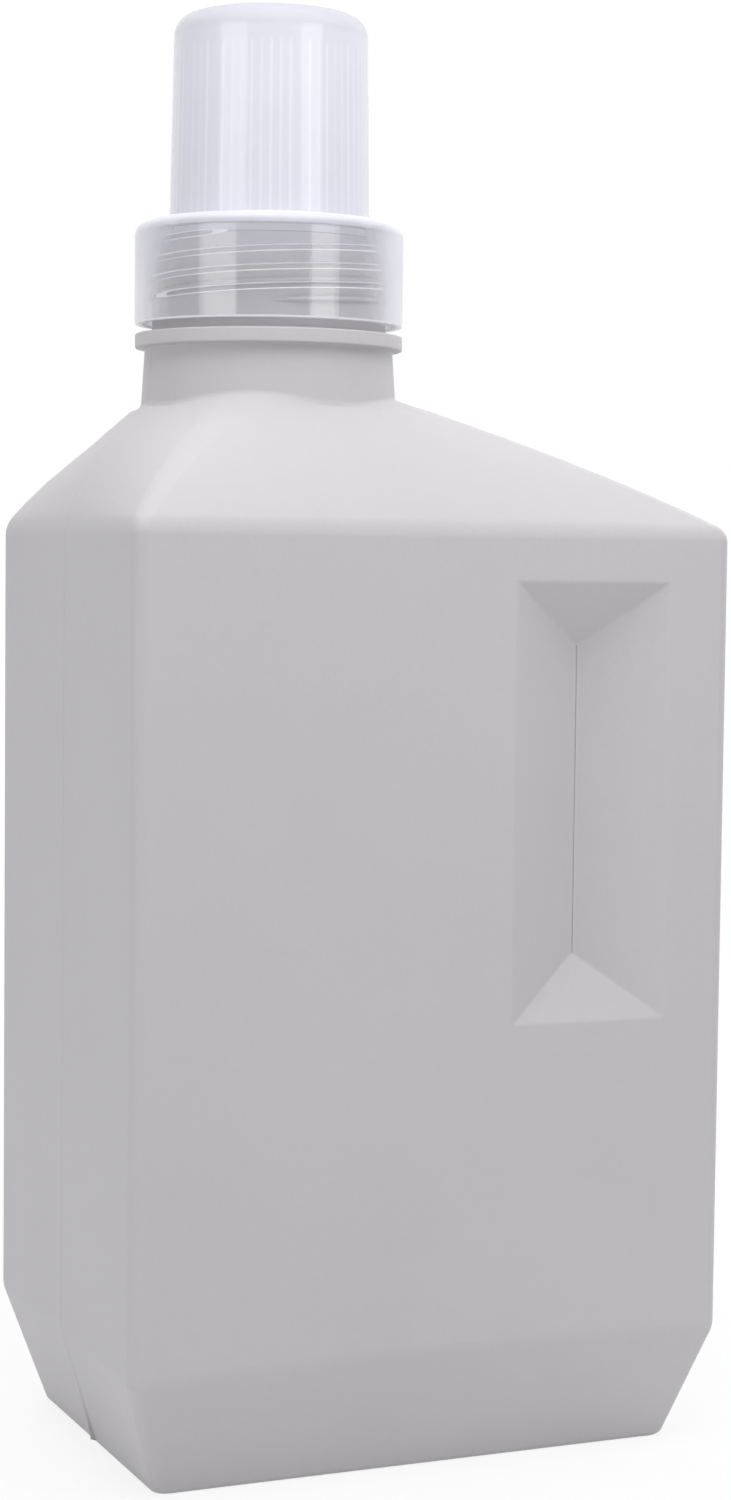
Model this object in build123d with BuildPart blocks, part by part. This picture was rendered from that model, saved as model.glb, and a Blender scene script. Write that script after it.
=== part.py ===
"""Refillable detergent bottle: a blown flask, a pouring spout and a measuring cap.

Frame: +Z up, the origin under the middle of the base, the front wall towards -Y and the
neck nearer to the -X side. All sizes are in millimetres.
"""
import os
from math import copysign, cos, radians, sin

from build123d import *

os.makedirs("parts", exist_ok=True)

# Flask walls
width = 103.0
depth = 71.0
wall = 1.1
corner_radius = 2.4  # upright edges
inner_corner_radius = 1.3
base_inset = 6.3  # how far the base draws in on every side
base_rise = 19.4  # height of the chamfer round the base
base_edge_round = 5.0
foot_round = 1.0
dish_rim = 9.0  # width of the ring that the flask stands on
dish_rise = 2.0  # how far the middle of the base is pushed up
dish_slope = 5.0

# Shoulder
shoulder_z = 151.4
shoulder_round = 1.6  # reach of the rounding above and below the shoulder's edge
crown_right = 3.0  # how far the crown stands out of a straight slope on the long side
crown_left = 2.3
crown_front = 0.8
shoulder_height = 21.6  # from the shoulder's edge to its end inside the neck
collar_inset = 1.4
hip_angles = (30, 120, 240, 330)  # where the four hips meet the neck, about its axis
hip_reach = 10.3  # half the angle that a hip takes up there

# Neck
neck_x = -16.5
neck_sink = 5.0  # how far the neck reaches down into the shoulder
neck_foot_radius = 21.2
neck_radius = 20.4
neck_height = 7.2  # from the shoulder's end to the bead
bead_thickness = 2.6
bead_radius = 22.0
bead_chamfer = 0.3
finish_radius = 19.2  # plain part of the neck that carries the thread
finish_height = 15.2  # from the bead to the rim
bore_radius = 17.6
bore_flare = 4.0  # height over which the bore widens into the flask

# Finger recesses in the front and back walls
recess_x = 26.3
recess_drop = 8.4  # from the shoulder's edge to the top of the recess
recess_width = 27.6
recess_height = 71.0
recess_depth = 6.3
valley_width = 0.8
valley_height = 50.8

# Pouring spout
flange_thickness = 1.2
flange_inset = 0.3
spout_wall = 1.1
plug_clearance = 0.05
plug_length = 7.0
trough_fall = 1.6  # drop of the trough floor towards the tube
tube_radius = 9.7
lip_radius = 11.0
lip_height = 18.6  # from the flange to the pouring edge
lip_fall = 4.0  # drop of the slanted mouth from front to back
drain_width = 4.0
drain_height = 5.5

# Measuring cap
skirt_radius = 22.05
skirt_wall = 1.4
skirt_gap = 1.4  # between the bead and the skirt
skirt_round = 2.2
seal_gap = 0.3  # between the spout flange and the cap's roof
roof_thickness = 1.4
cup_radius = 16.4
cup_draft = 0.6  # narrowing of the cup towards its closed end
cup_height = 33.6
cup_wall = 1.2
cup_round = 3.4
cup_inner_round = 2.2

tolerance = 0.01  # reach for picking edges by their place

# Levels and axes that follow from the sizes above
neck_axis = Axis((neck_x, 0, 0), (0, 0, 1))
neck_plane = Plane(origin=(neck_x, 0, 0), x_dir=(1, 0, 0), z_dir=(0, -1, 0))
collar_z = shoulder_z + shoulder_height
recess_z = shoulder_z - recess_drop - recess_height / 2
neck_foot_z = collar_z - neck_sink
bead_z = collar_z + neck_height
bead_top_z = bead_z + bead_thickness
rim_z = bead_top_z + finish_height
flange_top_z = rim_z + flange_thickness
roof_under_z = flange_top_z + seal_gap
roof_top_z = roof_under_z + roof_thickness
skirt_bottom_z = bead_top_z + skirt_gap
cup_top_z = roof_top_z + cup_height
plug_radius = bore_radius - plug_clearance
trough_z = rim_z - plug_length
tip_z = flange_top_z + lip_height


def section(level, left, right, half_depth, radius):
    """A rounded rectangle between two X limits, at one level."""
    with BuildSketch(Plane.XY.offset(level)) as outline:
        with Locations(((left + right) / 2, 0)):
            RectangleRounded(right - left, 2 * half_depth, radius)
    return outline.sketch


def shoulder_section(share, level, skin, radius):
    """An outline of the shoulder: share runs from 0 at the walls to 1 at the collar.

    Four hips run from the wall corners to their own angles round the collar. Each is an arc,
    and so is each side between two of them, apart from the straight sides at the walls.
    """
    side = width / 2 - skin
    half_depth = depth / 2 - skin
    collar = neck_radius - collar_inset - skin
    swell = 4 * share * (1 - share)

    def drawn_in(x, y, angle):
        right_share = (side + x) / (2 * side)
        crown_x = crown_right * right_share - crown_left * (1 - right_share)
        crown_y = crown_front * y / half_depth
        collar_x = neck_x + collar * cos(radians(angle))
        collar_y = collar * sin(radians(angle))
        return (x + (collar_x - x) * share + swell * crown_x, y + (collar_y - y) * share + swell * crown_y)

    spots = []
    next_hips = hip_angles[1:] + (hip_angles[0] + 360,)
    for turn, hip, next_hip in zip((0, 90, 180, 270), hip_angles, next_hips):
        middle_x = copysign(side - radius, cos(radians(turn + 45)))
        middle_y = copysign(half_depth - radius, sin(radians(turn + 45)))
        for step in (-1, 0, 1):
            bend = radians(turn + 45 + 45 * step)
            x = middle_x + radius * cos(bend)
            y = middle_y + radius * sin(bend)
            spots.append(drawn_in(x, y, hip + step * hip_reach))
        beyond = radians(turn + 90)
        spots.append(drawn_in(side * cos(beyond), half_depth * sin(beyond), (hip + next_hip) / 2))
    spots.append(spots[0])
    with BuildSketch(Plane.XY.offset(level)) as outline:
        with BuildLine():
            for first in range(0, 16, 4):
                ThreePointArc(spots[first : first + 3])
                if share > 0:
                    ThreePointArc(spots[first + 2 : first + 5])
                else:
                    Line(spots[first + 2], spots[first + 4])
        make_face()
    return outline.sketch


def flask_form(skin, radius, flat_bands=False):
    """Base, walls and shoulder, drawn in by skin on every side."""
    side = width / 2 - skin
    half_depth = depth / 2 - skin
    edge_z = shoulder_z - skin / 2
    end_z = collar_z - skin
    ease = shoulder_round / (end_z - edge_z)
    foot = section(skin, base_inset - side, side - base_inset, half_depth - base_inset, radius)
    waist = section(base_rise, -side, side, half_depth, radius)
    edge_low = shoulder_section(0, edge_z - shoulder_round, skin, radius)
    edge_mid = shoulder_section(ease / 4, edge_z, skin, radius)
    edge_high = shoulder_section(ease, edge_z + shoulder_round, skin, radius)
    crown = shoulder_section(0.5, (edge_z + end_z) / 2, skin, radius)
    collar_end = shoulder_section(1, end_z, skin, radius)
    loft([foot, waist], ruled=True)
    extrude(waist, amount=edge_z - shoulder_round - base_rise)
    loft([edge_low, edge_mid, edge_high], ruled=flat_bands)
    loft([edge_high, crown, collar_end], ruled=flat_bands)


def level_edges(part, level):
    """The edges that lie flat at one level."""
    return part.edges().filter_by_position(Axis.Z, level - tolerance, level + tolerance)


def recess_outline(face_y, across, high):
    """A rectangle centred on the recess, on the plane at -Y that faces forwards."""
    with BuildSketch(Plane.XZ.offset(face_y)) as outline:
        with Locations((recess_x, recess_z)):
            Rectangle(across, high)
    return outline.sketch


def grip_pair(shift):
    """Two valley-shaped recesses facing each other, moved inwards by shift."""
    face_y = depth / 2 - shift
    rim = recess_outline(face_y, recess_width, recess_height)
    valley = recess_outline(face_y - recess_depth, valley_width, valley_height)
    loft([rim, valley], ruled=True)
    mirror(about=Plane.XZ)


def base_dish(lift):
    """The pushed-up middle of the base, raised by lift."""
    inset = base_inset + dish_rim
    levels = ((lift, inset), (lift + dish_rise, inset + dish_slope))
    loft(
        [
            section(level, x - width / 2, width / 2 - x, depth / 2 - x, corner_radius)
            for level, x in levels
        ],
        ruled=True,
    )


with BuildPart() as grip:
    grip_pair(0)

with BuildPart() as grip_backs:
    grip_pair(wall)

with BuildPart() as dish:
    base_dish(0)

with BuildPart() as dish_back:
    base_dish(wall)

# Everything that is empty inside the flask, up to the mouth
with BuildPart() as cavity:
    flask_form(wall, inner_corner_radius, flat_bands=True)
    with BuildSketch(neck_plane):
        with BuildLine():
            Polyline(
                (0, neck_foot_z),
                (neck_foot_radius - wall, neck_foot_z),
                (neck_radius - wall, bead_z - bore_flare),
                (bore_radius, bead_z),
                (bore_radius, rim_z),
                (0, rim_z),
                close=True,
            )
        make_face()
    revolve(axis=neck_axis)
    add(grip_backs.part, mode=Mode.SUBTRACT)
    add(dish_back.part, mode=Mode.SUBTRACT)

with BuildPart() as bottle:
    flask_form(0, corner_radius)
    fillet(level_edges(bottle, base_rise), base_edge_round)
    fillet(level_edges(bottle, 0), foot_round)
    with BuildSketch(neck_plane):
        with BuildLine():
            Polyline(
                (0, neck_foot_z),
                (neck_foot_radius, neck_foot_z),
                (neck_radius, bead_z),
                (bead_radius, bead_z),
                (bead_radius, bead_top_z),
                (finish_radius, bead_top_z),
                (finish_radius, rim_z),
                (0, rim_z),
                close=True,
            )
        make_face()
    revolve(axis=neck_axis)
    round_edges = bottle.edges().filter_by(GeomType.CIRCLE)
    bead_edges = [edge for edge in round_edges if abs(edge.radius - bead_radius) < tolerance]
    chamfer(bead_edges, bead_chamfer)
    add(grip.part, mode=Mode.SUBTRACT)
    add(dish.part, mode=Mode.SUBTRACT)
    add(cavity.part, mode=Mode.SUBTRACT)
bottle.part.label = "bottle"
export_step(bottle.part, "parts/bottle.step")

with BuildPart() as pouring_spout:
    with BuildSketch(neck_plane):
        with BuildLine():
            Polyline(
                (finish_radius - flange_inset, rim_z),
                (finish_radius - flange_inset, flange_top_z),
                (plug_radius - spout_wall, flange_top_z),
                (plug_radius - spout_wall, trough_z),
                (tube_radius, trough_z - trough_fall),
                (lip_radius, tip_z),
                (lip_radius - spout_wall, tip_z),
                (tube_radius - spout_wall, trough_z - trough_fall - spout_wall),
                (plug_radius, trough_z - spout_wall),
                (plug_radius, rim_z),
                close=True,
            )
        make_face()
    revolve(axis=neck_axis)
    mouth = Plane(
        origin=(neck_x, 0, tip_z - lip_fall / 2),
        x_dir=(0, 1, 0),
        z_dir=(lip_fall, 0, 2 * lip_radius),
    )
    split(bisect_by=mouth, keep=Keep.BOTTOM)
    drain_plane = Plane(origin=(neck_x, 0, trough_z - trough_fall), x_dir=(0, 1, 0), z_dir=(1, 0, 0))
    with BuildSketch(drain_plane):
        Rectangle(drain_width, drain_height, align=(Align.CENTER, Align.MIN))
    extrude(amount=tube_radius + spout_wall, mode=Mode.SUBTRACT)
pouring_spout.part.label = "pouring_spout"
export_step(pouring_spout.part, "parts/pouring_spout.step")

with BuildPart() as measuring_cap:
    cup_end = cup_radius - cup_draft
    with BuildSketch(neck_plane):
        with BuildLine():
            Polyline(
                (skirt_radius - skirt_wall, skirt_bottom_z),
                (skirt_radius, skirt_bottom_z),
                (skirt_radius, roof_top_z),
                (cup_radius, roof_top_z),
                (cup_end, cup_top_z),
                (0, cup_top_z),
                (0, cup_top_z - cup_wall),
                (cup_end - cup_wall, cup_top_z - cup_wall),
                (cup_radius - cup_wall, roof_under_z),
                (skirt_radius - skirt_wall, roof_under_z),
                close=True,
            )
        make_face()
    revolve(axis=neck_axis)
    fillet(level_edges(measuring_cap, roof_top_z).sort_by(SortBy.RADIUS)[-1], skirt_round)
    fillet(level_edges(measuring_cap, cup_top_z), cup_round)
    fillet(level_edges(measuring_cap, cup_top_z - cup_wall), cup_inner_round)
measuring_cap.part.label = "measuring_cap"
export_step(measuring_cap.part, "parts/measuring_cap.step")
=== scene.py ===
"""Looks of a refillable detergent bottle: grey blown flask, pouring spout and milky measuring cap.

The frame is the part's own: metres, +Z up, the origin under the middle of the base, the front
wall towards -Y and the neck nearer to the -X side.
"""

import math

import bmesh
import bpy
from mathutils import Matrix, Vector


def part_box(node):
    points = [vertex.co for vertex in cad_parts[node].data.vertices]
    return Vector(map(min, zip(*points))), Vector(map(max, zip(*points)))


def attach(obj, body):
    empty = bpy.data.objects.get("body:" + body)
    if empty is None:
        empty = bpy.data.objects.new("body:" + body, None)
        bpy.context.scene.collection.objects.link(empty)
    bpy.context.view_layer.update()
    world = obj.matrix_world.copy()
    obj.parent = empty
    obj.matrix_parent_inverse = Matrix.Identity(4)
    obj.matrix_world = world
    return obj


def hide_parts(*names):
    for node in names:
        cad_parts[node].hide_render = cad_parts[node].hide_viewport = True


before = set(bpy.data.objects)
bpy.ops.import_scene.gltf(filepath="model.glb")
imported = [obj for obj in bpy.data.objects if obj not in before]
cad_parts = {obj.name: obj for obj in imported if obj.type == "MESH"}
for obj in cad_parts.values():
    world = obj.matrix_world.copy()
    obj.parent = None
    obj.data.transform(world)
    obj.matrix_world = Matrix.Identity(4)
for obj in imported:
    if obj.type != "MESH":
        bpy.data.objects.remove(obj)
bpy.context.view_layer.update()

mm = 0.001
touch = 0.002 * mm  # how near a point has to be to count as lying on a level
squarely = 0.9  # share of a normal along an axis from which a face counts as facing that way

# Places read from the frame
flask_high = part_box("bottle")[1]
cap_low, cap_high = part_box("measuring_cap")
spout_low, spout_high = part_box("pouring_spout")
half_width = flask_high.x
half_depth = flask_high.y
rim_z = flask_high.z
neck_x = (cap_low.x + cap_high.x) / 2
skirt_radius = (cap_high.x - cap_low.x) / 2
skirt_bottom_z = cap_low.z
cup_top_z = cap_high.z
plug_bottom_z = spout_low.z
tip_z = spout_high.z
flange_radius = (spout_high.x - spout_low.x) / 2

# Flask walls
wall = 1.1 * mm
corner_radius = 2.4 * mm
inner_corner_radius = 1.3 * mm
base_inset = 6.3 * mm
base_rise = 19.4 * mm
base_bow = 1.3 * mm  # how far the chamfer's upper edge rises in the middle of a long wall
side_bow = 0.5  # the same on the short walls, as a share of it
base_edge_round = 0.9 * mm
foot_round = 1.0 * mm
foot_ring = 9.0 * mm
foot_hollow = 0.05 * mm
dish_slope = 5.0 * mm
dish_rise = 2.0 * mm
edge_round = 0.25 * mm  # on every edge that bends by more than edge_crease
edge_crease = math.radians(18)
seam_width = 0.22 * mm  # half the width of the parting line
seam_height = 0.09 * mm
fin_height = 0.8 * mm  # pinched-off tail at each end of the base
fin_top_z = 12.0 * mm
fin_divisions = (1, 0.66, 0.33)  # where the tail's curve is divided, as shares of its height

# Shoulder and neck
shoulder_z = 151.4 * mm
shoulder_height = 21.6 * mm
shoulder_shares = (0.86, 0.7, 0.52, 0.34, 0.17, 0.0)  # its rows of edges, as shares of its height
shoulder_round = 1.7 * mm
collar_radius = 19.0 * mm
crown_right = 3.0 * mm
crown_left = 2.3 * mm
crown_front = 0.8 * mm
neck_seam_z = 171.5 * mm
neck_seam_radius = 20.97 * mm
neck_seam_wave = 0.72 * mm  # the shoulder climbs higher up the neck at its four hips
neck_seam_round = 0.6 * mm
neck_radius = 20.4 * mm
bead_z = 180.2 * mm
bead_thickness = 2.6 * mm
bead_radius = 22.0 * mm
bead_slope = 0.15 * mm
finish_radius = 19.2 * mm
rim_slope = 0.12 * mm
bore_radius = 17.6 * mm
bore_flare = 4.0 * mm

# Finger recess
recess_x = 26.3 * mm
recess_z = 107.5 * mm
recess_width = 27.6 * mm
recess_height = 71.0 * mm
recess_depth = 6.3 * mm
valley_width = 0.8 * mm
valley_height = 50.8 * mm
recess_round = 0.45 * mm
weld_depth = 0.16 * mm  # hairline groove along the bottom of the valley

# Screw thread: two right-hand starts; one of the cap's ends at the top, left of the front
thread_lead = 5.94 * mm
thread_foot = 1.9 * mm  # height of the ridge's section, as deep in its wall as it stands out
thread_crest = 0.5 * mm
thread_round = 0.12 * mm
thread_fade = 0.05  # share of a turn over which each end sinks into its wall
thread_sink = 1.3  # how far an end sinks, as a share of the ridge's depth
cap_thread_depth = 0.6 * mm
cap_thread_turns = 1.65625
cap_thread_end_z = 197.9 * mm
cap_thread_end_angle = math.radians(236.25)
neck_thread_depth = 0.72 * mm
neck_thread_turns = 0.875
neck_thread_end_z = 192.2 * mm
neck_thread_end_angle = math.radians(200.0)

# Spout
flange_thickness = 1.2 * mm
flange_round = 0.3 * mm
flange_bore_round = 0.4 * mm
spout_wall = 1.1 * mm
plug_radius = 17.55 * mm
plug_round = 0.6 * mm
trough_z = 191.0 * mm
trough_fall = 1.6 * mm
trough_round = 1.2 * mm
tube_radius = 9.7 * mm
tube_foot_round = 1.0 * mm
lip_radius = 11.0 * mm
lip_fall = 4.0 * mm
drain_width = 4.0 * mm
drain_height = 5.5 * mm

# Cap
skirt_wall = 1.4 * mm
skirt_bore = skirt_radius - skirt_wall
skirt_round = 2.2 * mm
skirt_edge_round = 0.3 * mm
roof_under_z = 199.5 * mm
roof_top_z = 200.9 * mm
roof_inner_round = 0.5 * mm
milky_from_z = roof_top_z + 0.1 * mm
cup_radius = 16.4 * mm
cup_draft = 0.6 * mm
cup_wall = 1.2 * mm
cup_foot_round = 0.7 * mm
cup_round = 3.4 * mm
cup_inner_round = 2.2 * mm
rib_count = 64
rib_height = 0.12 * mm
rib_slope = 0.1 * mm  # width of the sloping sides of a rib
rib_bottom_z = roof_under_z + 1.0 * mm
rib_top_z = 229.3 * mm

# How finely round forms are divided
ring_points = 192
steps_per_rib = 4
cap_steps = steps_per_rib * rib_count

# Where the four hips of the shoulder meet the neck, as angles about its axis, with the first one
# again after a full turn, and half the angle that each takes up
hip_angles = [math.radians(angle) for angle in (30, 120, 240, 330, 390)]
hip_reach = 5.5 * math.tau / ring_points

# Colours as read off a screen, 0 to 255; low and high are the two ends of a mottle
grey_low, grey_high = (187, 185, 188), (195, 193, 196)
natural_low, natural_high = (216, 216, 220), (228, 228, 231)
milk_low, milk_high = (229, 229, 241), (234, 234, 245)
rib_white = (248, 248, 254)
# painted shade for the top of the cup's dome
painted_dome_shade = (190, 190, 201)
haze_low, haze_high = (224, 224, 235), (232, 232, 242)
# white of the painted highlight on the skirt's foot and thread
highlight_white = (252, 252, 254)

# Cloudiness of the clear skirt, and the painted highlight at its foot and on its thread, 0 to 1
roof_cloud = 0.72
# painted highlight: the skirt's foot edge and the slopes of its thread are painted white for the
# bright lines light makes there
foot_highlight = 0.9
flank_highlight = 0.85  # on the slopes of the thread
wall_cloud = (0.05, 0.24)  # low on the wall and under the roof
margin_cloud = 0.5  # added where the wall is seen edge on
mirror_face_on = 0.045  # share of light that its clear surface mirrors
mirror_edge_on = 0.9  # added to it edge on

# Viewpoint
camera_angles = (-23.23, -3.82, 0.64)  # heading, tilt and roll in degrees
camera_place = (-0.1949, -0.45805, 0.14736)
camera_lens = 71.09
film_width = 36
nearest_seen = 0.01

# Studio
ambient = 0.29
floor_size = 8
floor_grey = 0.88
floor_white = 0.85  # share of plain white in the floor round the object
floor_fade = (0.3, 1.0)  # distances over which the floor turns plain white
cap_aim = (neck_x, 0, 0.2)
front_aim = (0, 0, 0.15)
back_aim = (0, 0, 0.12)
softboxes = {  # place, aim, width and height, radiance, whether glossy surfaces mirror it
    "left_softbox": ((-0.86, -0.38, 0.34), cap_aim, (0.55, 0.2), 2.3, True),
    "right_softbox": ((0.41, -0.83, 0.34), cap_aim, (0.42, 0.2), 2.6, True),
    "overhead_softbox": ((-0.05, -0.05, 0.5), (-0.02, 0, 0.16), (0.4, 0.3), 3.0, False),
    "front_softbox": ((0, -0.3, 0.5), front_aim, (0.4, 0.25), 1.95, False),
    "near_softbox": ((0.05, -0.24, 0.42), front_aim, (0.4, 0.2), 0.95, False),
    "low_softbox": ((-0.8, 0.05, 0.14), (-0.05, 0, 0.03), (0.5, 0.24), 1.6, False),
    "back_softbox": ((0.15, 0.75, 0.45), back_aim, (0.6, 0.4), 4.0, False),
    "far_softbox": ((0.75, 0.25, 0.4), back_aim, (0.5, 0.4), 3.4, False),
}


# Mesh tools

def pick(kind, test):
    """Selects those vertices, edges or faces of the mesh in edit mode that pass a test."""
    bpy.ops.mesh.select_mode(type={"verts": "VERT", "edges": "EDGE", "faces": "FACE"}[kind])
    bpy.ops.mesh.select_all(action="DESELECT")
    mesh = bpy.context.edit_object.data
    for item in getattr(bmesh.from_edit_mesh(mesh), kind):
        if test(item):
            item.select_set(True)
    bmesh.update_edit_mesh(mesh)


def nudge(test, shift):
    """Moves the vertices that pass a test, each by its own small vector."""
    mesh = bpy.context.edit_object.data
    for vertex in bmesh.from_edit_mesh(mesh).verts:
        if test(vertex):
            vertex.co += shift(vertex)
    bmesh.update_edit_mesh(mesh)


def at_level(item, level):
    return all(abs(vertex.co.z - level) < touch for vertex in item.verts)


def round_loop(test, offset, segments):
    """Rounds the edges that pass a test."""
    pick("edges", test)
    bpy.ops.mesh.bevel(
        offset=offset, segments=segments, affect="EDGES", clamp_overlap=False, loop_slide=True
    )


def face_outwards():
    """Turns every face of the mesh in edit mode outwards."""
    bpy.ops.mesh.select_all(action="SELECT")
    bpy.ops.mesh.normals_make_consistent(inside=False)


def deselect_all():
    bpy.ops.object.select_all(action="DESELECT")


def finish_edit(name):
    """Leaves edit mode and names the piece that was being made."""
    bpy.ops.object.mode_set(mode="OBJECT")
    piece = bpy.context.object
    piece.name = name
    piece.data.name = name
    return piece


def add_modifier(piece, kind, **settings):
    """Adds a modifier with its settings and applies it."""
    bpy.context.view_layer.objects.active = piece
    modifier = piece.modifiers.new(kind.title(), kind)
    for key, value in settings.items():
        setattr(modifier, key, value)
    bpy.ops.object.modifier_apply(modifier=modifier.name)


def clean(piece):
    """Merges points that coincide and takes out faces without area."""
    bpy.context.view_layer.objects.active = piece
    bpy.ops.object.mode_set(mode="EDIT")
    bpy.ops.mesh.select_mode(type="VERT")
    bpy.ops.mesh.select_all(action="SELECT")
    bpy.ops.mesh.remove_doubles(threshold=touch)
    bpy.ops.mesh.dissolve_degenerate(threshold=touch)
    bpy.ops.object.mode_set(mode="OBJECT")


def join(pieces):
    """Joins pieces into the first one."""
    deselect_all()
    for piece in pieces:
        piece.select_set(True)
    bpy.context.view_layer.objects.active = pieces[0]
    bpy.ops.object.join()
    return pieces[0]


def smooth(piece, crease):
    """Shades a piece smooth, with flat faces kept flat right up to their rounded edges."""
    deselect_all()
    piece.select_set(True)
    bpy.context.view_layer.objects.active = piece
    bpy.ops.object.shade_smooth_by_angle(angle=math.radians(crease))
    add_modifier(piece, "WEIGHTED_NORMAL", mode="FACE_AREA", weight=80, keep_sharp=True)


# Rows of edges that the flask is bridged from

def on_circle(angle, radius):
    """A place on a circle round the neck's axis."""
    return Vector((neck_x + radius * math.cos(angle), radius * math.sin(angle)))


def on_box(angle, side, reach, radius):
    """A place on a rounded rectangle; its corners take up the angles of the shoulder's hips."""
    def on_corner(index, share):
        across, along = ((1, 1), (-1, 1), (-1, -1), (1, -1))[index]
        centre = Vector((across * (side - radius), along * (reach - radius)))
        bend = (index + share) * math.pi / 2
        return centre + radius * Vector((math.cos(bend), math.sin(bend)))

    first = hip_angles[0] - hip_reach
    turn = (angle - first) % math.tau + first
    index = max(corner for corner in range(4) if hip_angles[corner] - hip_reach <= turn)
    corner_end = hip_angles[index] + hip_reach
    if turn <= corner_end:
        return on_corner(index, 1 - (corner_end - turn) / (2 * hip_reach))
    share = (turn - corner_end) / (hip_angles[index + 1] - hip_reach - corner_end)
    return on_corner(index, 1).lerp(on_corner((index + 1) % 4, 0), share)


def on_shoulder(angle, share, skin, radius):
    """A place on the shoulder: share runs from 0 at the walls to 1 at the collar."""
    side = half_width - skin
    reach = half_depth - skin
    edge = on_box(angle, side, reach, radius)
    rightwards = (1 + edge.x / side) / 2  # 0 at the left wall, 1 at the right one
    crown_x = rightwards * crown_right - (1 - rightwards) * crown_left
    crown = Vector((crown_x, edge.y / reach * crown_front))
    collar = on_circle(angle, collar_radius - skin)
    return edge.lerp(collar, share) + 4 * share * (1 - share) * crown


def row(level, place):
    """A ring of edges at one level; place gives X and Y for an angle about the neck's axis."""
    half_step = math.pi / ring_points
    bpy.ops.mesh.primitive_circle_add(
        vertices=ring_points, radius=collar_radius, enter_editmode=True
    )
    bpy.ops.transform.rotate(value=half_step, orient_axis="Z", center_override=(0, 0, 0))

    def to_place(vertex):
        spot = place(math.atan2(vertex.co.y, vertex.co.x))
        return Vector((spot.x, spot.y, level)) - vertex.co

    nudge(lambda v: v.select, to_place)
    return level


def round_row(level, radius):
    return row(level, lambda angle: on_circle(angle, radius))


def shoulder_row(share, skin, radius):
    foot_z = shoulder_z - skin / 2
    top_z = shoulder_z + shoulder_height - skin
    level = foot_z + (top_z - foot_z) * share
    return row(level, lambda angle: on_shoulder(angle, share, skin, radius))


def inset_row(level, inset, radius):
    """An outline of the walls, drawn in by inset on every side."""
    return row(level, lambda angle: on_box(angle, half_width - inset, half_depth - inset, radius))


def bridge(first, second):
    """Joins the open loops at two levels by a band of faces."""
    pick("edges", lambda e: len(e.link_faces) < 2 and (at_level(e, first) or at_level(e, second)))
    bpy.ops.mesh.bridge_edge_loops()


def flask_skin(skin, radius, neck_rows):
    """One wall surface of the flask, from its mouth down to the middle of its base."""
    level = None
    rows = [lambda z=z, r=r: round_row(z, r) for z, r in neck_rows]
    rows += [lambda s=s: shoulder_row(s, skin, radius) for s in shoulder_shares]
    dish = base_inset + foot_ring
    below = (
        (base_rise, skin, radius),
        (skin, base_inset + skin, radius),
        (skin + foot_hollow, dish, corner_radius),
        (skin + dish_rise, dish + dish_slope, corner_radius),
    )
    rows += [lambda b=b: inset_row(*b) for b in below]
    for draw in rows:
        above, level = level, draw()
        if above is not None:
            bridge(above, level)
    pick("edges", lambda e: e.is_boundary and at_level(e, level))
    bpy.ops.mesh.edge_face_add()


# Forms of the flask

def bow_base_edge():
    """Lifts the middle of the chamfer's upper edge and rounds that edge."""
    def lift(vertex):
        along_x = 1 - (vertex.co.x / half_width) ** 2
        along_y = 1 - (vertex.co.y / half_depth) ** 2
        share = 1 if along_x > along_y else side_bow
        return Vector((0, 0, base_bow * max(along_x, along_y) * share))

    def on_waist(edge):
        return all(-touch < v.co.z - base_rise < base_bow + touch for v in edge.verts)

    nudge(lambda v: abs(v.co.z - base_rise) < touch, lift)
    round_loop(on_waist, base_edge_round, 3)


def press_recess(skin, side):
    """Pushes the finger recess into the wall on one side (-1 front, 1 back)."""
    face_y = side * (half_depth - skin)

    def on_wall(face):
        centre = face.calc_center_median()
        return abs(centre.y - face_y) < touch and base_rise < centre.z < shoulder_z

    def in_recess(face):
        centre = face.calc_center_median()
        inside_x = abs(centre.x - recess_x) < recess_width / 2
        return on_wall(face) and inside_x and abs(centre.z - recess_z) < recess_height / 2

    pick("faces", on_wall)
    bpy.ops.mesh.dissolve_faces()
    for sign in (-1, 1):
        for centre, reach, axis in ((recess_x, recess_width, "x"), (recess_z, recess_height, "z")):
            pick("faces", on_wall)
            place = Vector((0, face_y, 0))
            normal = Vector((0, 0, 0))
            setattr(place, axis, centre + sign * reach / 2)
            setattr(normal, axis, 1)
            bpy.ops.mesh.bisect(plane_co=place, plane_no=normal)
    pick("faces", in_recess)
    floor_y = face_y - side * recess_depth
    bpy.ops.mesh.extrude_region_move(
        TRANSFORM_OT_translate={"value": (0, floor_y - face_y, 0)}
    )
    bpy.ops.transform.resize(
        value=(valley_width / recess_width, 1, valley_height / recess_height),
        center_override=(recess_x, floor_y, recess_z),
    )


def on_recess_rim(edge):
    """True for the edges round the mouth of a finger recess."""
    def on_rim(vertex):
        across = abs(vertex.co.x - recess_x) - recess_width / 2
        along = abs(vertex.co.z - recess_z) - recess_height / 2
        return abs(max(across, along)) < touch and abs(abs(vertex.co.y) - half_depth) < touch

    return all(on_rim(vertex) for vertex in edge.verts)


def cut_weld_lines():
    """A hairline groove along the bottom of each recess, where the walls meet."""
    def on_valley(face):
        centre = face.calc_center_median()
        deep = abs(abs(centre.y) - half_depth + recess_depth) < touch
        inside_x = abs(centre.x - recess_x) < valley_width / 2
        return deep and inside_x and abs(face.normal.y) > squarely

    for side in (-1, 1):
        pick("faces", lambda f: on_valley(f) and f.calc_center_median().y * side > 0)
        bpy.ops.mesh.extrude_region_move(
            TRANSFORM_OT_translate={"value": (0, -side * weld_depth, 0)}
        )


def wave_neck_seam():
    """Hollows the corner under the neck; the shoulder climbs there at its hips and dips between."""
    def climb(vertex):
        angle = abs(math.atan2(vertex.co.y, vertex.co.x - neck_x))
        return Vector((0, 0, neck_seam_wave * math.cos(4 * (angle - hip_angles[0]))))

    round_loop(lambda e: at_level(e, neck_seam_z), neck_seam_round, 5)
    nudge(lambda v: abs(v.co.z - neck_seam_z) < 1.5 * neck_seam_round, climb)


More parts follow.
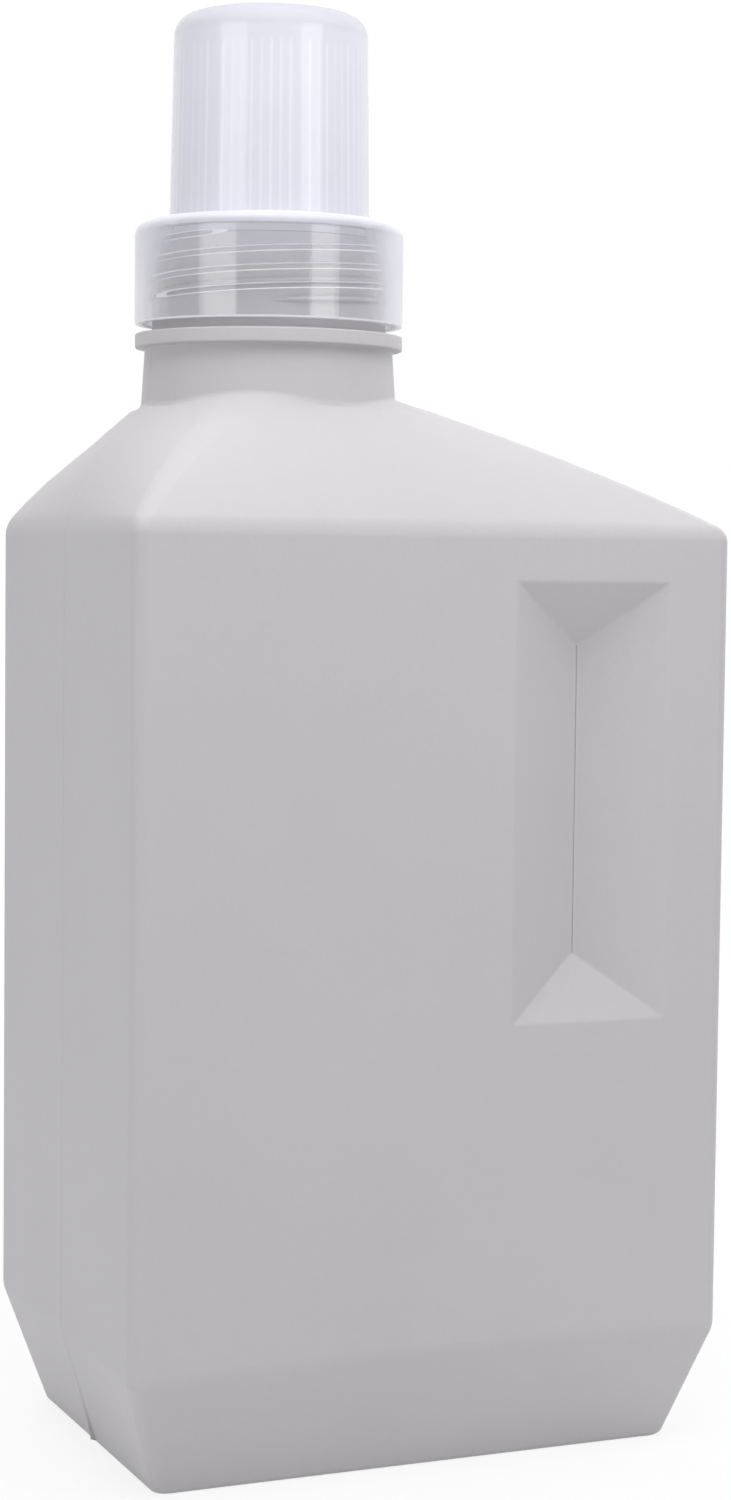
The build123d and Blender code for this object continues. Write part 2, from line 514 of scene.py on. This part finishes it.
def raise_parting_line():
    """A fine ridge where the mould halves met, with a pinched tail at both ends of the base."""
    def on_end_wall(face):
        return abs(face.normal.x) > squarely and face.calc_center_median().z < base_rise

    def on_line(edge):
        return all(abs(v.co.y) < touch and v.co.z < bead_z - touch for v in edge.verts)

    def on_ridge(vertex):
        outside = foot_round / 4 < vertex.co.z < bead_z - touch and vertex.normal.z > -0.5
        return outside and abs(vertex.co.y) < touch

    def outwards(vertex):
        share = min(max(1 - vertex.co.z / fin_top_z, 0), 1)
        tail = fin_height * share ** 2 if vertex.co.z > foot_round / 2 else 0
        return Vector((math.copysign(seam_height + tail, vertex.co.x - neck_x), 0, 0))

    for share in fin_divisions:
        pick("faces", on_end_wall)
        bpy.ops.mesh.bisect(plane_co=(0, 0, fin_top_z * share), plane_no=(0, 0, 1))
    pick("faces", lambda f: f.calc_center_median().z < bead_z)
    bpy.ops.mesh.bisect(plane_co=(0, 0, 0), plane_no=(0, 1, 0))
    pick("edges", on_line)
    bpy.ops.mesh.bevel(offset=seam_width, segments=2, affect="EDGES", clamp_overlap=False)
    nudge(on_ridge, outwards)
    bpy.ops.mesh.select_all(action="SELECT")
    slim = half_width / (half_width + seam_height)  # keeps the ridge inside the flask's width
    bpy.ops.transform.resize(value=(slim, 1, 1), center_override=(0, 0, 0))


def on_mouth_edge(edge):
    """True for the edges round the outside and the inside of the mouth."""
    first, second = ((v.co - Vector((neck_x, 0, v.co.z))).length for v in edge.verts)
    at_rim = all(v.co.z > rim_z - 2 * rim_slope for v in edge.verts)
    return at_rim and abs(first - second) < edge_round


# Screw thread

def thread_section(name, radius, depth):
    """The outline of a ridge at a radius from the Z axis, half of it inside its wall."""
    deselect_all()
    bpy.ops.mesh.primitive_plane_add(size=1, rotation=(math.pi / 2, 0, 0), enter_editmode=True)
    bpy.ops.transform.resize(value=(2 * abs(depth), 1, thread_foot), center_override=(0, 0, 0))
    pick("verts", lambda v: v.co.x * depth > 0)
    bpy.ops.transform.resize(
        value=(1, 1, thread_crest / thread_foot), center_override=(0, 0, 0)
    )
    bpy.ops.mesh.select_all(action="SELECT")
    bpy.ops.mesh.bevel(offset=thread_round, segments=2, affect="VERTICES", clamp_overlap=False)
    bpy.ops.mesh.delete(type="ONLY_FACE")
    bpy.ops.mesh.select_all(action="SELECT")
    bpy.ops.transform.translate(value=(radius, 0, 0))
    section = finish_edit(name)
    bpy.ops.object.transform_apply(location=True, rotation=True, scale=True)
    return section


def sink_ends(ridge, depth, turns):
    """Lets both ends of a ridge run out into its wall."""
    for vertex in ridge.data.vertices:
        flat = Vector((vertex.co.x, vertex.co.y))
        angle = math.atan2(flat.y, flat.x) % math.tau / math.tau
        turn = angle + round(vertex.co.z / thread_lead - angle)
        risen = min(max(min(turn, turns - turn) / thread_fade, 0), 1)
        flat *= 1 - (1 - risen) * thread_sink * depth / flat.length
        vertex.co.x, vertex.co.y = flat


def half_turned(piece):
    """A copy of a piece, turned half round the neck's axis."""
    deselect_all()
    piece.select_set(True)
    bpy.ops.object.duplicate()
    twin = bpy.context.object
    axis = Matrix.Translation((neck_x, 0, 0))
    twin.data.transform(axis @ Matrix.Rotation(math.pi, 4, "Z") @ axis.inverted())
    return twin


def thread_ridges(name, radius, depth, turns, end_z, end_angle, steps):
    """Two ridges that climb round the neck's axis; depth is negative where they point inwards."""
    ridge = thread_section(name, radius, depth)
    add_modifier(
        ridge,
        "SCREW",
        axis="Z",
        angle=turns * math.tau,
        screw_offset=turns * thread_lead,
        steps=round(turns * steps),
        render_steps=round(turns * steps),
    )
    sink_ends(ridge, depth, turns)
    ridge.data.transform(Matrix.Rotation(end_angle - turns * math.tau, 4, "Z"))
    ridge.data.transform(Matrix.Translation((neck_x, 0, end_z - turns * thread_lead)))
    bpy.ops.object.mode_set(mode="EDIT")
    pick("edges", lambda e: e.is_boundary)
    bpy.ops.mesh.fill()
    face_outwards()
    bpy.ops.object.mode_set(mode="OBJECT")
    return [ridge, half_turned(ridge)]


# The three pieces

def make_flask():
    """The blown flask: outer and inner wall, recesses, parting line and neck thread."""
    deselect_all()
    bead_top_z = bead_z + bead_thickness
    flask_skin(
        0,
        corner_radius,
        (
            (rim_z - rim_slope, finish_radius),
            (bead_top_z, finish_radius),
            (bead_top_z - bead_slope, bead_radius),
            (bead_z + bead_slope, bead_radius),
            (bead_z, neck_radius),
            (neck_seam_z, neck_seam_radius),
        ),
    )
    bow_base_edge()
    round_loop(lambda e: at_level(e, shoulder_z), shoulder_round, 6)
    for side in (-1, 1):
        press_recess(0, side)
    round_loop(on_recess_rim, recess_round, 4)
    wave_neck_seam()
    round_loop(lambda e: at_level(e, 0), foot_round, 6)
    outer = finish_edit("flask")
    add_modifier(
        outer,
        "BEVEL",
        width=edge_round,
        segments=3,
        angle_limit=edge_crease,
        use_clamp_overlap=False,
    )
    bpy.ops.object.mode_set(mode="EDIT")
    cut_weld_lines()
    raise_parting_line()
    bpy.ops.object.mode_set(mode="OBJECT")
    deselect_all()
    flask_skin(
        wall,
        inner_corner_radius,
        (
            (rim_z, bore_radius),
            (bead_z, bore_radius),
            (bead_z - bore_flare, neck_radius - wall),
            (neck_seam_z - wall, neck_seam_radius - wall),
        ),
    )
    for side in (-1, 1):
        press_recess(wall, side)
    inner = finish_edit("flask_inside")
    flask = join([outer, inner])
    bpy.ops.object.mode_set(mode="EDIT")
    pick("edges", lambda e: e.is_boundary)
    bpy.ops.mesh.bridge_edge_loops()
    face_outwards()
    round_loop(on_mouth_edge, edge_round, 3)
    bpy.ops.object.mode_set(mode="OBJECT")
    clean(flask)
    ridges = thread_ridges(
        "neck_thread",
        finish_radius,
        neck_thread_depth,
        neck_thread_turns,
        neck_thread_end_z,
        neck_thread_end_angle,
        ring_points,
    )
    flask = join([flask, *ridges])
    flask.data.materials.append(grained_grey())
    smooth(flask, crease=40)
    return flask


def turned(name, points, rounds, steps):
    """A piece turned round the neck's axis from a profile of (radius, level) points.

    rounds gives, for some of the points, the reach of the rounding and its number of steps.
    """
    deselect_all()
    bpy.ops.mesh.primitive_plane_add(size=mm, enter_editmode=True)
    bpy.ops.mesh.select_mode(type="VERT")
    bpy.ops.mesh.merge(type="CENTER")
    bpy.ops.transform.translate(value=(neck_x + points[0][0], 0, points[0][1]))
    for (radius, level), (next_radius, next_level) in zip(points, points[1:]):
        move = (next_radius - radius, 0, next_level - level)
        bpy.ops.mesh.extrude_region_move(TRANSFORM_OT_translate={"value": move})
    bpy.ops.mesh.select_all(action="SELECT")
    bpy.ops.mesh.edge_face_add()
    for (radius, level), (reach, segments) in rounds.items():
        corner = Vector((neck_x + radius, 0, level))
        pick("verts", lambda v: (v.co - corner).length < touch)
        bpy.ops.mesh.bevel(
            offset=reach, segments=segments, affect="VERTICES", clamp_overlap=False
        )
    bpy.ops.mesh.select_all(action="SELECT")
    bpy.ops.mesh.delete(type="ONLY_FACE")
    pick("edges", lambda e: all(abs(v.co.x - neck_x) < touch for v in e.verts))
    bpy.ops.mesh.delete(type="EDGE")
    bpy.ops.mesh.select_all(action="SELECT")
    bpy.ops.mesh.spin(steps=steps, angle=math.tau, center=(neck_x, 0, 0), axis=(0, 0, 1))
    bpy.ops.mesh.select_all(action="SELECT")
    bpy.ops.mesh.remove_doubles(threshold=touch)
    face_outwards()
    return finish_edit(name)


def make_spout():
    """The pouring spout: flange, plug, drip trough and a tube with a slanted mouth."""
    flange_top_z = rim_z + flange_thickness
    floor_z = trough_z - trough_fall
    plug_bore = plug_radius - spout_wall
    spout = turned(
        "spout",
        (
            (flange_radius, rim_z),
            (flange_radius, flange_top_z),
            (plug_bore, flange_top_z),
            (plug_bore, trough_z),
            (tube_radius, floor_z),
            (lip_radius, tip_z),
            (lip_radius - spout_wall, tip_z),
            (tube_radius - spout_wall, plug_bottom_z),
            (plug_radius, trough_z - spout_wall),
            (plug_radius, rim_z),
        ),
        {
            (flange_radius, flange_top_z): (flange_round, 3),
            (plug_bore, flange_top_z): (flange_bore_round, 3),
            (plug_bore, trough_z): (trough_round, 4),
            (tube_radius, floor_z): (tube_foot_round, 4),
            (plug_radius, trough_z - spout_wall): (plug_round, 3),
        },
        ring_points,
    )
    bpy.ops.object.mode_set(mode="EDIT")
    bpy.ops.mesh.select_all(action="SELECT")
    bpy.ops.mesh.bisect(
        plane_co=(neck_x, 0, tip_z - lip_fall / 2),
        plane_no=Vector((lip_fall, 0, 2 * lip_radius)).normalized(),
        clear_outer=True,
    )
    pick("edges", lambda e: e.is_boundary)
    bpy.ops.mesh.fill()
    bpy.ops.object.mode_set(mode="OBJECT")
    deselect_all()
    reach = tube_radius + spout_wall
    bpy.ops.mesh.primitive_cube_add(
        size=1,
        location=(neck_x + reach / 2, 0, floor_z + drain_height / 2),
        scale=(reach, drain_width, drain_height),
    )
    slot_cutter = bpy.context.object
    add_modifier(spout, "BOOLEAN", operation="DIFFERENCE", object=slot_cutter, solver="EXACT")
    bpy.data.objects.remove(slot_cutter)
    spout.data.materials.append(natural_white())
    smooth(spout, crease=35)
    return spout


def make_cap():
    """The measuring cap: threaded skirt, roof and ribbed cup."""
    cup_end = cup_radius - cup_draft
    cup_bore = cup_radius - cup_wall
    ceiling_z = cup_top_z - cup_wall
    drafted = (rib_top_z - roof_under_z) / (ceiling_z - roof_under_z)
    cap = turned(
        "cap",
        (
            (0, cup_top_z),
            (cup_end, cup_top_z),
            (cup_radius, roof_top_z),
            (skirt_radius, roof_top_z),
            (skirt_radius, skirt_bottom_z),
            (skirt_bore, skirt_bottom_z),
            (skirt_bore, roof_under_z),
            (cup_bore, roof_under_z),
            (cup_bore - cup_draft * drafted, rib_top_z),
            (cup_end - cup_wall, ceiling_z),
            (0, ceiling_z),
        ),
        {
            (cup_end, cup_top_z): (cup_round, 8),
            (cup_radius, roof_top_z): (cup_foot_round, 4),
            (skirt_radius, roof_top_z): (skirt_round, 6),
            (skirt_radius, skirt_bottom_z): (skirt_edge_round, 3),
            (skirt_bore, skirt_bottom_z): (skirt_edge_round, 3),
            (skirt_bore, roof_under_z): (roof_inner_round, 3),
            (cup_bore, roof_under_z): (roof_inner_round, 3),
            (cup_end - cup_wall, ceiling_z): (cup_inner_round, 6),
        },
        cap_steps,
    )

    def on_rib(face):
        centre = face.calc_center_median()
        out = Vector((centre.x - neck_x, centre.y))
        inside = out.length < cup_bore + touch and face.normal.xy.dot(out) < 0
        column = math.floor(math.atan2(out.y, out.x) % math.tau / math.tau * cap_steps)
        raised = column % steps_per_rib < steps_per_rib / 2
        return inside and rib_bottom_z < centre.z < rib_top_z and raised

    bpy.ops.object.mode_set(mode="EDIT")
    pick("faces", on_rib)
    bpy.ops.mesh.inset(thickness=rib_slope, depth=rib_height)
    bpy.ops.object.mode_set(mode="OBJECT")
    ridges = thread_ridges(
        "cap_thread",
        skirt_bore,
        -cap_thread_depth,
        cap_thread_turns,
        cap_thread_end_z,
        cap_thread_end_angle,
        cap_steps,
    )
    for ridge in ridges:
        add_modifier(cap, "BOOLEAN", operation="UNION", object=ridge, solver="EXACT")
        bpy.data.objects.remove(ridge)
    clean(cap)
    cap.data.materials.append(clear_skirt())
    cap.data.materials.append(milky_cup())
    bpy.ops.object.mode_set(mode="EDIT")
    pick("faces", lambda f: f.calc_center_median().z > milky_from_z)
    cap.active_material_index = 1
    bpy.ops.object.material_slot_assign()
    bpy.ops.object.mode_set(mode="OBJECT")
    smooth(cap, crease=40)
    return cap


def tie(piece, node, body):
    """Lets a piece stand for its solid and move with a body."""
    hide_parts(node)
    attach(piece, body)


# Finishes

class Signal:
    """A socket in a material's nodes; arithmetic on it adds the Math nodes it needs."""

    def __init__(self, tree, socket=None):
        self.tree = tree
        self.socket = socket

    def node(self, kind, settings, sockets, output=0):
        """Adds a node with its settings and its sockets' values or links; gives one output."""
        made = self.tree.nodes.new(kind)
        for name, value in settings.items():
            setattr(made, name, value)
        for key, value in sockets.items():
            if isinstance(value, Signal):
                self.tree.links.new(value.socket, made.inputs[key])
            else:
                made.inputs[key].default_value = value
        return Signal(self.tree, made.outputs[output] if made.outputs else None)

    def also(self, output):
        """Another output of the node that this signal comes from."""
        return Signal(self.tree, self.socket.node.outputs[output])

    def maths(self, operation, first, second=0):
        return self.node("ShaderNodeMath", {"operation": operation}, {0: first, 1: second})

    def __add__(self, other):
        return self.maths("ADD", self, other)

    def __radd__(self, other):
        return self.maths("ADD", other, self)

    def __sub__(self, other):
        return self.maths("SUBTRACT", self, other)

    def __mul__(self, other):
        return self.maths("MULTIPLY", self, other)

    def __rmul__(self, other):
        return self.maths("MULTIPLY", other, self)


def linear(colour):
    """A colour read off a screen, 0 to 255, as the renderer's linear values."""
    def straight(channel):
        share = channel / 255
        return share / 12.92 if share <= 0.04045 else ((share + 0.055) / 1.055) ** 2.4

    return (*(straight(channel) for channel in colour), 1)


def new_finish(name):
    """An empty material, a signal to build its nodes from and its Object coordinates."""
    finish = bpy.data.materials.new(name)
    finish.use_nodes = True
    finish.node_tree.nodes.clear()
    start = Signal(finish.node_tree)
    place = start.node("ShaderNodeTexCoord", {}, {}, "Object")
    return finish, start, place


def noise(start, place, scale, detail):
    sockets = {"Vector": place, "Scale": scale, "Detail": detail, "Roughness": 0.55}
    return start.node("ShaderNodeTexNoise", {}, sockets)


def ease(start, value, low, high, low_result, high_result):
    """Maps a value smoothly from one range to another."""
    sockets = {
        "Value": value,
        "From Min": low,
        "From Max": high,
        "To Min": low_result,
        "To Max": high_result,
    }
    return start.node("ShaderNodeMapRange", {"interpolation_type": "SMOOTHSTEP"}, sockets)


def blend_colours(start, share, first, second):
    """Mixes two colours, each of them a signal or a screen colour."""
    first, second = (c if isinstance(c, Signal) else linear(c) for c in (first, second))
    return start.node("ShaderNodeMix", {"data_type": "RGBA"}, {0: share, 6: first, 7: second}, 2)


def bump(start, height, distance):
    sockets = {"Strength": 1.0, "Distance": distance, "Height": height}
    return start.node("ShaderNodeBump", {}, sockets)


def plastic(start, sockets):
    return start.node("ShaderNodeBsdfPrincipled", {}, sockets)


def mix_shaders(start, share, first, second):
    return start.node("ShaderNodeMixShader", {}, {0: share, 1: first, 2: second})


def show(start, shader):
    start.node("ShaderNodeOutputMaterial", {}, {"Surface": shader})


def grained_grey():
    """Blown grey plastic with the fine sand grain of its mould."""
    finish, start, place = new_finish("grained_grey")
    grain = noise(start, place, scale=1500, detail=2)
    cloud = noise(start, place, scale=28, detail=3)
    mottle = noise(start, place, scale=850, detail=2)
    sockets = {
        "Base Color": blend_colours(start, cloud * 0.7 + mottle * 0.3, grey_low, grey_high),
        "Roughness": 0.46 + 0.14 * grain,
        "Normal": bump(start, grain + mottle, 0.03 * mm),
    }
    show(start, plastic(start, sockets))
    return finish


def clear_skirt():
    """Clear plastic of the threaded skirt, cloudy at its roof and edge on, with a painted highlight
    in white at its foot and on the slopes of its thread.

    Clear and mirroring surfaces are mixed by how far the wall turns from view, as a plain pane
    would be, and the cloudy plastic is mixed in where the wall is thick or grazed and where the
    highlight is painted.
    """
    finish, start, place = new_finish("clear_skirt")
    cloud = noise(start, place, scale=60, detail=3)
    haze = noise(start, place, scale=700, detail=2)
    level = start.node("ShaderNodeSeparateXYZ", {}, {"Vector": place}, "Z")
    from_axis = start.node(
        "ShaderNodeVectorMath",
        {"operation": "MULTIPLY_ADD"},
        {0: place, 1: (1, 1, 0), 2: (-neck_x, 0, 0)},
    )
    radius = start.node("ShaderNodeVectorMath", {"operation": "LENGTH"}, {0: from_axis}, "Value")
    facing = start.node("ShaderNodeLayerWeight", {}, {"Blend": 0.5}, "Facing")

    crest = skirt_bore - cap_thread_depth
    roof_levels = (roof_under_z - 1.5 * mm, roof_top_z - 0.6 * mm)
    foot_levels = (skirt_bottom_z + 0.15 * mm, skirt_bottom_z + 0.4 * mm)
    wall_levels = (skirt_bottom_z + 5.0 * mm, roof_under_z - 1.0 * mm)
    crest_radii = (crest + 0.1 * mm, crest + 0.2 * mm)
    root_radii = (skirt_bore - 0.12 * mm, skirt_bore - 0.05 * mm)
    edge_on = (0.25, 0.78)
    roof = ease(start, level, *roof_levels, 0, roof_cloud)
    # Painted highlight: white at the foot edge and on the thread's flanks, mixed in like the haze
    foot = ease(start, level, *foot_levels, foot_highlight, 0)
    behind_crest = ease(start, radius, *crest_radii, 0, flank_highlight)
    flank = behind_crest * ease(start, radius, *root_radii, 1, 0)
    side = ease(start, level, *wall_levels, *wall_cloud)
    margin = ease(start, facing, *edge_on, 0, margin_cloud)
    painted_highlight = start.maths("MAXIMUM", foot, flank)
    share = start.maths("MAXIMUM", start.maths("MAXIMUM", roof, painted_highlight), side + margin)

    clear = plastic(start, {"Alpha": 0.0})
    mirror = plastic(
        start, {"Base Color": (1, 1, 1, 1), "Metallic": 1.0, "Roughness": 0.02 + 0.04 * haze}
    )
    # The cloudy plastic's colour turns to the painted highlight white at the foot and on the thread
    tint = blend_colours(start, cloud, haze_low, haze_high)
    cloudy = plastic(
        start,
        {
            "Base Color": blend_colours(start, painted_highlight, tint, highlight_white),
            "Roughness": 0.25 + 0.1 * haze,
        },
    )
    squared = facing * facing
    mirrored = mirror_face_on + mirror_edge_on * (squared * squared * facing)
    pane = mix_shaders(start, mirrored, clear, mirror)
    show(start, mix_shaders(start, share, pane, cloudy))
    return finish


def milky_cup():
    """The cup's milky plastic: a cool tint, fine flutes, a glossy skin and painted shade darkening
    the top of its dome.
    """
    finish, start, place = new_finish("milky_cup")
    across = start.node("ShaderNodeSeparateXYZ", {}, {"Vector": place}, "X")
    level = across.also("Z")
    turn = start.maths("ARCTAN2", across.also("Y"), across - neck_x)
    cloud = noise(start, place, scale=60, detail=3)
    haze = noise(start, place, scale=700, detail=2)
    patches_per_radian = 7  # some ribs show more than others
    patchy = start.node(
        "ShaderNodeTexNoise",
        {"noise_dimensions": "1D"},
        {"W": turn * patches_per_radian, "Scale": 1.0},
    )

    rib_flank = (0.2, 0.9)
    faint_to_plain = (0.1, 0.7)
    wave = start.maths("SINE", turn * rib_count)
    rib = ease(start, wave, *rib_flank, 0, 1)
    rib = rib * ease(start, level, rib_top_z - 2.0 * mm, rib_top_z, 1, 0)
    rib = rib * ease(start, patchy, 0.35, 0.65, *faint_to_plain)
    # Painted shade: the top of the dome is darkened towards a grey
    dome = ease(start, level, cup_top_z - cup_round - 1.0 * mm, cup_top_z, 0, 1)
    milk = blend_colours(start, cloud, milk_low, milk_high)
    ribbed = blend_colours(start, rib * 0.5, milk, rib_white)
    sockets = {
        "Base Color": blend_colours(start, dome, ribbed, painted_dome_shade),
        "Roughness": 0.45 + 0.1 * haze,
        "Alpha": 0.74 + 0.06 * cloud + 0.05 * rib,
        "Normal": bump(start, cloud + 0.2 * rib, 0.03 * mm),
        "Coat Weight": 1.0,
        "Coat Roughness": 0.02,
    }
    show(start, plastic(start, sockets))
    return finish


def natural_white():
    """Plain moulded plastic of the spout, slightly cloudy."""
    finish, start, place = new_finish("natural_white")
    cloud = noise(start, place, scale=90, detail=3)
    grain = noise(start, place, scale=1100, detail=2)
    sockets = {
        "Base Color": blend_colours(start, cloud, natural_low, natural_high),
        "Roughness": 0.36 + 0.12 * grain,
        "Normal": bump(start, grain, 0.012 * mm),
    }
    show(start, plastic(start, sockets))
    return finish


# Studio

def seen_directly(start):
    """1 for rays that show the background: straight, mirrored or passed through."""
    straight = start.node("ShaderNodeLightPath", {}, {}, "Is Camera Ray")
    mirrored = straight.also("Is Glossy Ray")
    passed = straight.also("Is Transmission Ray")
    return start.maths("MAXIMUM", start.maths("MAXIMUM", straight, mirrored), passed)


def add_floor():
    """A pale floor that takes a soft shadow and turns plain white farther off."""
    deselect_all()
    bpy.ops.mesh.primitive_plane_add(size=floor_size)
    floor = bpy.context.object
    floor.name = "floor"
    finish, start, place = new_finish("pale_floor")
    grey = (floor_grey, floor_grey, floor_grey, 1)
    matt = start.node("ShaderNodeBsdfDiffuse", {}, {"Color": grey})
    plain = start.node("ShaderNodeEmission", {}, {"Color": (1, 1, 1, 1), "Strength": 1.0})
    away = start.node("ShaderNodeVectorMath", {"operation": "LENGTH"}, {0: place}, "Value")
    share = seen_directly(start) * ease(start, away, *floor_fade, floor_white, 1)
    show(start, mix_shaders(start, share, matt, plain))
    floor.data.materials.append(finish)


def light_world():
    """White surroundings that cast less light than they show."""
    world = bpy.data.worlds.new("studio")
    bpy.context.scene.world = world
    world.use_nodes = True
    world.node_tree.nodes.clear()
    start = Signal(world.node_tree)
    strength = ambient + seen_directly(start) * (1 - ambient)
    glow = start.node("ShaderNodeBackground", {}, {"Color": (1, 1, 1, 1), "Strength": strength})
    start.node("ShaderNodeOutputWorld", {}, {"Surface": glow})


def add_softbox(name, place, aim, size, radiance, mirrored):
    """A rectangular light that faces a point; only a mirrored one shows in glossy surfaces."""
    width, height = size
    turn = (Vector(place) - Vector(aim)).to_track_quat("Z", "Y").to_euler()
    bpy.ops.object.light_add(type="AREA", location=place, rotation=turn)
    lamp = bpy.context.object
    lamp.name = name
    lamp.data.shape = "RECTANGLE"
    lamp.data.size = width
    lamp.data.size_y = height
    lamp.data.energy = radiance * math.pi * width * height
    lamp.visible_camera = False
    lamp.visible_glossy = mirrored


def add_camera():
    """The photo's own viewpoint."""
    heading, tilt, roll = (math.radians(angle) for angle in camera_angles)
    forward = Vector(
        (-math.sin(heading) * math.cos(tilt), math.cos(heading) * math.cos(tilt), math.sin(tilt))
    )
    right = Vector((math.cos(heading), math.sin(heading), 0))
    up = right.cross(forward)
    rolled_right = right * math.cos(roll) + up * math.sin(roll)
    rolled_up = up * math.cos(roll) - right * math.sin(roll)
    view = Matrix((rolled_right, rolled_up, -forward)).transposed().to_4x4()
    view.translation = camera_place
    bpy.ops.object.camera_add()
    camera = bpy.context.object
    camera.matrix_world = view
    camera.data.sensor_width = film_width
    camera.data.lens = camera_lens
    camera.data.clip_start = nearest_seen
    bpy.context.scene.camera = camera


tie(make_flask(), "bottle", "bottle")
tie(make_spout(), "pouring_spout", "bottle")
tie(make_cap(), "measuring_cap", "cap")

bpy.context.scene.view_settings.view_transform = "Standard"
add_floor()
light_world()
for softbox, settings in softboxes.items():
    add_softbox(softbox, *settings)
add_camera()
